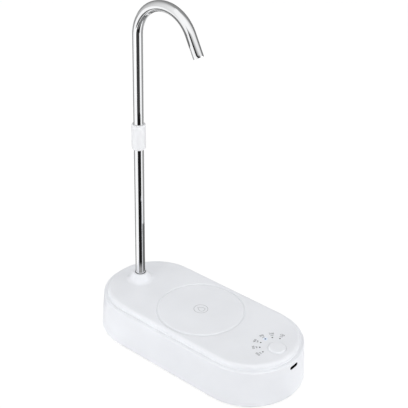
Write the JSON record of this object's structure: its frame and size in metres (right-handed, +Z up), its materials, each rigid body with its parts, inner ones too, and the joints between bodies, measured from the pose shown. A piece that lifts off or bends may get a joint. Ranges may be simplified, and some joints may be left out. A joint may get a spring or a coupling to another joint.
{
  "type": "electric water jug pump",
  "caption": "Table water dispenser that pumps from a jug: low round-ended base with cup pad, start button and level lights, and a plug-in steel gooseneck spout.",
  "frame": {"origin": "on the table, in the plane of the feet, under the centre of the cup pad and of the base's outline", "axes": "+Z up along the spout's tube, +X along the base from the spout towards the button and charging port, +Y across the base to its left"},
  "size_m": [0.1975, 0.09, 0.28],
  "materials": {
    "white_shell": "moulded, fine satin",
    "white_trim": "moulded, semi-gloss",
    "spout_steel": "polished stainless",
    "screw_steel": "bright zinc",
    "port_metal": "black nickel",
    "foot_rubber": "matte grey",
    "black_rubber": "matte black",
    "silicone": "translucent white",
    "inner_plastic": "plain moulded",
    "gear_plastic": "natural acetal",
    "black_plastic": "plain black",
    "light_pipe": "clear, smoked",
    "lamp": "blue light",
    "board": "green laminate",
    "motor_steel": "plated",
    "magnet": "sintered",
    "bearing_bronze": "sintered bronze",
    "wound_core": "laminations with enamelled copper",
    "cell": "shrink-wrapped",
    "lead_sleeve": "insulated wire"
  },
  "bodies": {
    "base": {"lower_housing": "white_shell", "top_cover": "white_shell", "cup_pad": "white_shell", "foot_front_left": "foot_rubber", "foot_front_right": "foot_rubber", "foot_rear_left": "foot_rubber", "foot_rear_right": "foot_rubber", "foot_middle": "foot_rubber", "housing_screws": "screw_steel", "spout_socket": "inner_plastic", "socket_seals": "black_rubber", "socket_screws": "screw_steel", "tact_switch": "black_plastic", "light_guide": "light_pipe", "led_chips": "lamp", "main_board": "board", "board_chips": "black_plastic", "board_screws": "screw_steel", "usb_shell": "port_metal", "usb_tongue": "black_plastic", "pump_body": "inner_plastic", "pump_cover": "inner_plastic", "pump_gasket": "black_rubber", "pump_screws": "screw_steel", "idler_pin": "screw_steel", "shaft_seal": "black_rubber", "motor_can": "motor_steel", "motor_end_cap": "inner_plastic", "motor_magnets": "magnet", "motor_bushes": "bearing_bronze", "motor_brushes": "bearing_bronze", "motor_damper": "black_rubber", "motor_clamp": "inner_plastic", "clamp_screws": "screw_steel", "battery_cell": "cell", "battery_clamp": "inner_plastic", "inlet_fitting": "inner_plastic", "inlet_nut": "inner_plastic", "inlet_seal": "black_rubber", "inlet_hose": "silicone", "outlet_hose": "silicone", "lead_plugs": "inner_plastic", "motor_leads": "lead_sleeve", "battery_leads": "lead_sleeve"},
    "lower_spout": {"lower_tube": "spout_steel", "tube_connector": "white_trim", "connector_seals": "black_rubber"},
    "upper_spout": {"upper_tube": "spout_steel"},
    "button": {"button_cap": "white_shell", "switch_plunger": "black_plastic"},
    "rotor": {"motor_shaft": "screw_steel", "armature": "wound_core", "drive_gear": "gear_plastic"},
    "idler": {"idler_gear": "gear_plastic"}
  },
  "joints": [
    {"name": "spout_swivel", "type": "hinge", "parent": "base", "child": "lower_spout", "pos_m": [-0.0667, 0, 0.036], "axis": [0, 0, 1], "continuous": true},
    {"name": "upper_spout_pull", "type": "slide", "parent": "lower_spout", "child": "upper_spout", "axis": [0, 0, 1], "range_m": [0, 0.012]},
    {"name": "button_press", "type": "slide", "parent": "base", "child": "button", "axis": [0, 0, -1], "range_m": [0, 0.0007], "stiffness_N_per_m": 800, "springref_m": -0.0008},
    {"name": "rotor_spin", "type": "hinge", "parent": "base", "child": "rotor", "pos_m": [0, -0.01839, 0.01725], "axis": [1, 0, 0], "continuous": true},
    {"name": "idler_spin", "type": "hinge", "parent": "base", "child": "idler", "pos_m": [0, -0.00639, 0.01725], "axis": [1, 0, 0], "continuous": true}
  ],
  "couplings": [
    {"joint": "idler_spin", "follows": "rotor_spin", "ratio": -1}
  ]
}
